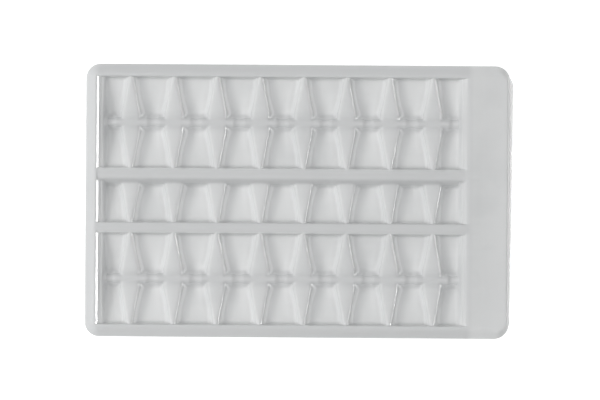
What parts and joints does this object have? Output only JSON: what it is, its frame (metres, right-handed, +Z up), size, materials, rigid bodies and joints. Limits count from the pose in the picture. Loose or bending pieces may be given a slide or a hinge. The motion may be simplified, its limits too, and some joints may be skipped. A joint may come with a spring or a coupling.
{
  "type": "wet palette",
  "caption": "Translucent tray of paint wells with tapered ribs and a flat margin, lying on a shallow base that holds a wet sponge under palette paper.",
  "frame": {"origin": "on the base's underside, under the centre of the well tray", "axes": "+X along the rows of wells towards the flat margin, +Y across the rows towards the far long edge, +Z up"},
  "size_m": [0.2319, 0.148, 0.0205],
  "materials": {
    "base_plastic": "thin translucent sheet plastic, satin",
    "sponge_foam": "white open-cell cellulose sponge",
    "membrane_paper": "smooth white membrane paper",
    "tray_plastic": "milky translucent sheet plastic, satin gloss"
  },
  "bodies": {
    "base": {"base_tray": "base_plastic"},
    "sponge": {"reservoir_sponge": "sponge_foam"},
    "paper": {"palette_paper": "membrane_paper"},
    "tray": {"well_tray": "tray_plastic"}
  },
  "joints": [
    {"name": "sponge_lift", "type": "slide", "parent": "base", "child": "sponge", "axis": [0, 0, 1], "range_m": [0, 0.02]},
    {"name": "paper_lift", "type": "slide", "parent": "sponge", "child": "paper", "axis": [0, 0, 1], "range_m": [0, 0.015]},
    {"name": "tray_lift", "type": "slide", "parent": "paper", "child": "tray", "axis": [0, 0, 1], "range_m": [0, 0.04]}
  ]
}
